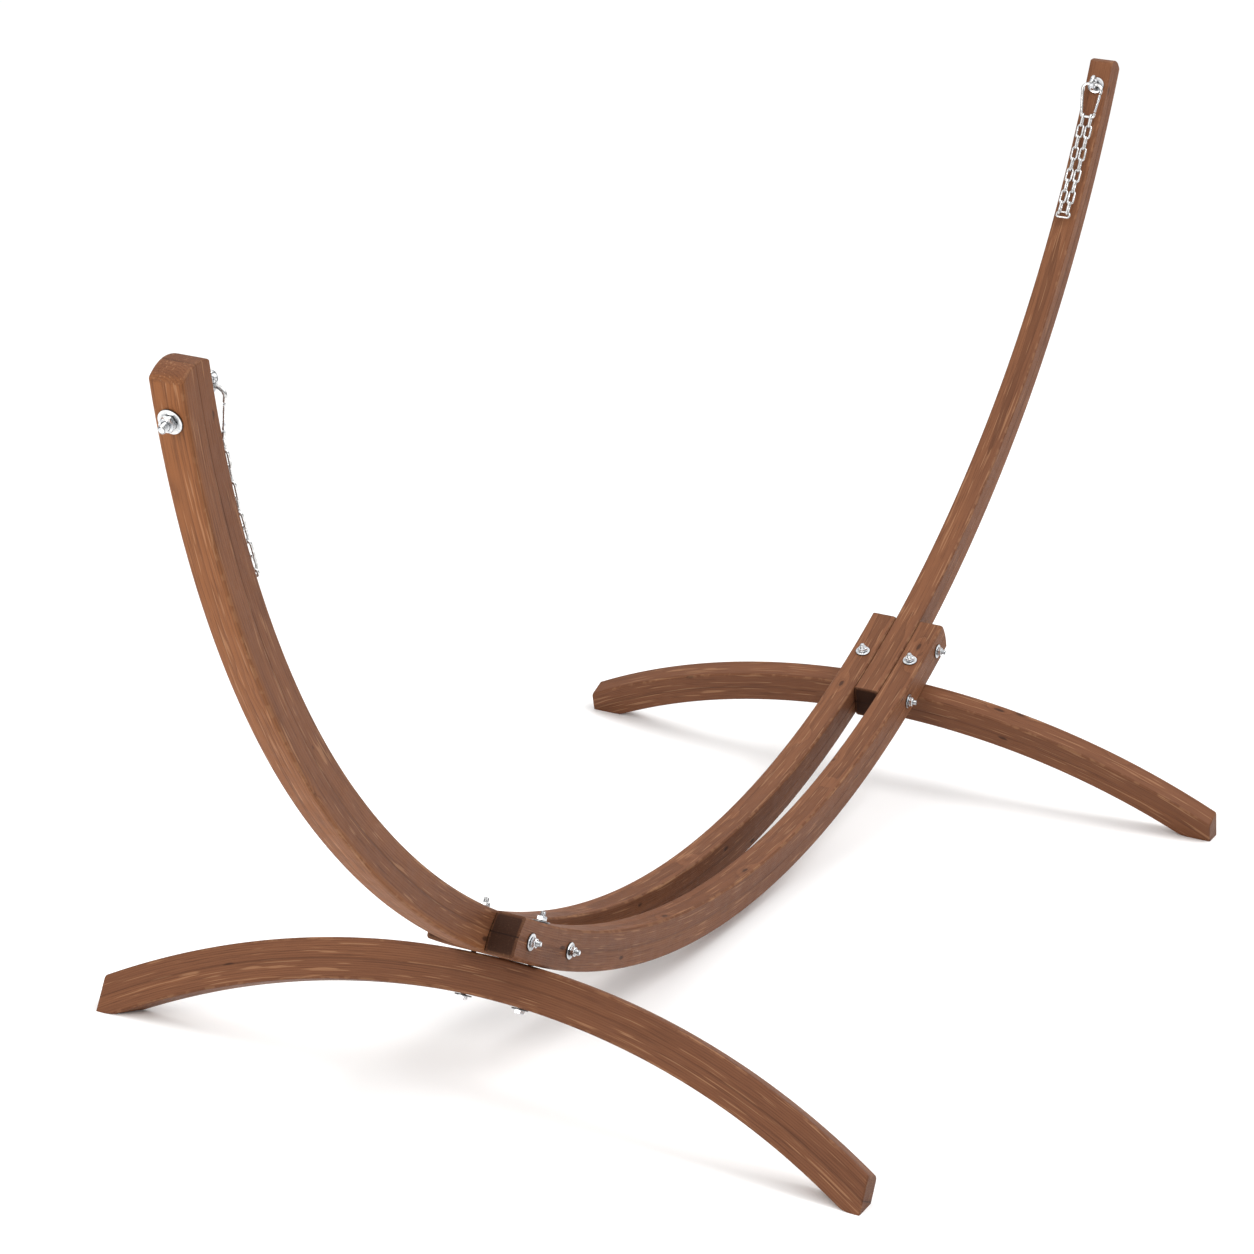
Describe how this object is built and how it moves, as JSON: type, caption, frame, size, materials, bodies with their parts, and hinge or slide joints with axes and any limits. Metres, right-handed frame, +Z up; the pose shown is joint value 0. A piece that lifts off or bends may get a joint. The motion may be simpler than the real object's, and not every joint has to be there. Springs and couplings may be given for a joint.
{
  "type": "hammock stand",
  "caption": "Free-standing arched wooden hammock stand with bolted arms on two arched feet, and a snap hook with a folded chain at each tip.",
  "frame": {"origin": "on the floor below the middle of the arc", "axes": "+X along the stand, +Y across it, +Z up; the near side of the picture is -Y and the near arm is the left one, at -X"},
  "size_m": [3.3198, 1.16, 1.1748],
  "materials": {
    "stained_wood": "satin reddish-brown stain, laminated softwood",
    "zinc_steel": "bright zinc plate"
  },
  "bodies": {
    "stand": {"arm_left": "stained_wood", "arm_right": "stained_wood", "eye_bolt_left": "zinc_steel", "eye_bolt_right": "zinc_steel", "eye_nut_left": "zinc_steel", "eye_nut_right": "zinc_steel", "eye_washer_inner_left": "zinc_steel", "eye_washer_inner_right": "zinc_steel", "eye_washer_outer_left": "zinc_steel", "eye_washer_outer_right": "zinc_steel", "foot_bolt_left_far": "zinc_steel", "foot_bolt_left_far_nut": "zinc_steel", "foot_bolt_left_far_washer_head": "zinc_steel", "foot_bolt_left_far_washer_nut": "zinc_steel", "foot_bolt_left_near": "zinc_steel", "foot_bolt_left_near_nut": "zinc_steel", "foot_bolt_left_near_washer_head": "zinc_steel", "foot_bolt_left_near_washer_nut": "zinc_steel", "foot_bolt_right_far": "zinc_steel", "foot_bolt_right_far_nut": "zinc_steel", "foot_bolt_right_far_washer_head": "zinc_steel", "foot_bolt_right_far_washer_nut": "zinc_steel", "foot_bolt_right_near": "zinc_steel", "foot_bolt_right_near_nut": "zinc_steel", "foot_bolt_right_near_washer_head": "zinc_steel", "foot_bolt_right_near_washer_nut": "zinc_steel", "foot_left": "stained_wood", "foot_right": "stained_wood", "middle_beam_far": "stained_wood", "middle_beam_near": "stained_wood", "side_bolt_left_lower": "zinc_steel", "side_bolt_left_lower_nut": "zinc_steel", "side_bolt_left_lower_washer_head": "zinc_steel", "side_bolt_left_lower_washer_nut": "zinc_steel", "side_bolt_left_upper": "zinc_steel", "side_bolt_left_upper_nut": "zinc_steel", "side_bolt_left_upper_washer_head": "zinc_steel", "side_bolt_left_upper_washer_nut": "zinc_steel", "side_bolt_right_lower": "zinc_steel", "side_bolt_right_lower_nut": "zinc_steel", "side_bolt_right_lower_washer_head": "zinc_steel", "side_bolt_right_lower_washer_nut": "zinc_steel", "side_bolt_right_upper": "zinc_steel", "side_bolt_right_upper_nut": "zinc_steel", "side_bolt_right_upper_washer_head": "zinc_steel", "side_bolt_right_upper_washer_nut": "zinc_steel"},
    "snap_hook_left": {"snap_hook_left": "zinc_steel"},
    "hook_gate_left": {"hook_gate_left": "zinc_steel"},
    "chain_upper_left": {"chain_upper_left_far": "zinc_steel", "chain_upper_left_near": "zinc_steel"},
    "chain_lower_left": {"chain_lower_left_far": "zinc_steel", "chain_lower_left_near": "zinc_steel", "chain_end_link_left": "zinc_steel"},
    "snap_hook_right": {"snap_hook_right": "zinc_steel"},
    "hook_gate_right": {"hook_gate_right": "zinc_steel"},
    "chain_upper_right": {"chain_upper_right_far": "zinc_steel", "chain_upper_right_near": "zinc_steel"},
    "chain_lower_right": {"chain_lower_right_far": "zinc_steel", "chain_lower_right_near": "zinc_steel", "chain_end_link_right": "zinc_steel"}
  },
  "joints": [
    {"name": "hook_swing_left", "type": "hinge", "parent": "stand", "child": "snap_hook_left", "pos_m": [-1.5624, 0, 1.13473], "axis": [0, -1, 0], "range_deg": [0, 100]},
    {"name": "gate_open_left", "type": "hinge", "parent": "snap_hook_left", "child": "hook_gate_left", "pos_m": [-1.55806, -0.01673, 1.11532], "axis": [0.9759, 0, 0.2183], "range_deg": [0, 16], "stiffness_Nm_per_rad": 0.05, "springref_deg": -11.46},
    {"name": "chain_swing_left", "type": "hinge", "parent": "snap_hook_left", "child": "chain_upper_left", "pos_m": [-1.54922, 0, 1.07579], "axis": [0, -1, 0], "range_deg": [0, 45]},
    {"name": "chain_fold_left", "type": "hinge", "parent": "chain_upper_left", "child": "chain_lower_left", "pos_m": [-1.50694, 0, 0.9829], "axis": [0, -1, 0], "range_deg": [0, 45]},
    {"name": "hook_swing_right", "type": "hinge", "parent": "stand", "child": "snap_hook_right", "pos_m": [1.5624, 0, 1.13473], "axis": [0, 1, 0], "range_deg": [0, 100]},
    {"name": "gate_open_right", "type": "hinge", "parent": "snap_hook_right", "child": "hook_gate_right", "pos_m": [1.55806, -0.01673, 1.11532], "axis": [0.9759, 0, -0.2183], "range_deg": [0, 16], "stiffness_Nm_per_rad": 0.05, "springref_deg": -11.46},
    {"name": "chain_swing_right", "type": "hinge", "parent": "snap_hook_right", "child": "chain_upper_right", "pos_m": [1.54922, 0, 1.07579], "axis": [0, 1, 0], "range_deg": [0, 45]},
    {"name": "chain_fold_right", "type": "hinge", "parent": "chain_upper_right", "child": "chain_lower_right", "pos_m": [1.50694, 0, 0.9829], "axis": [0, 1, 0], "range_deg": [0, 45]}
  ]
}
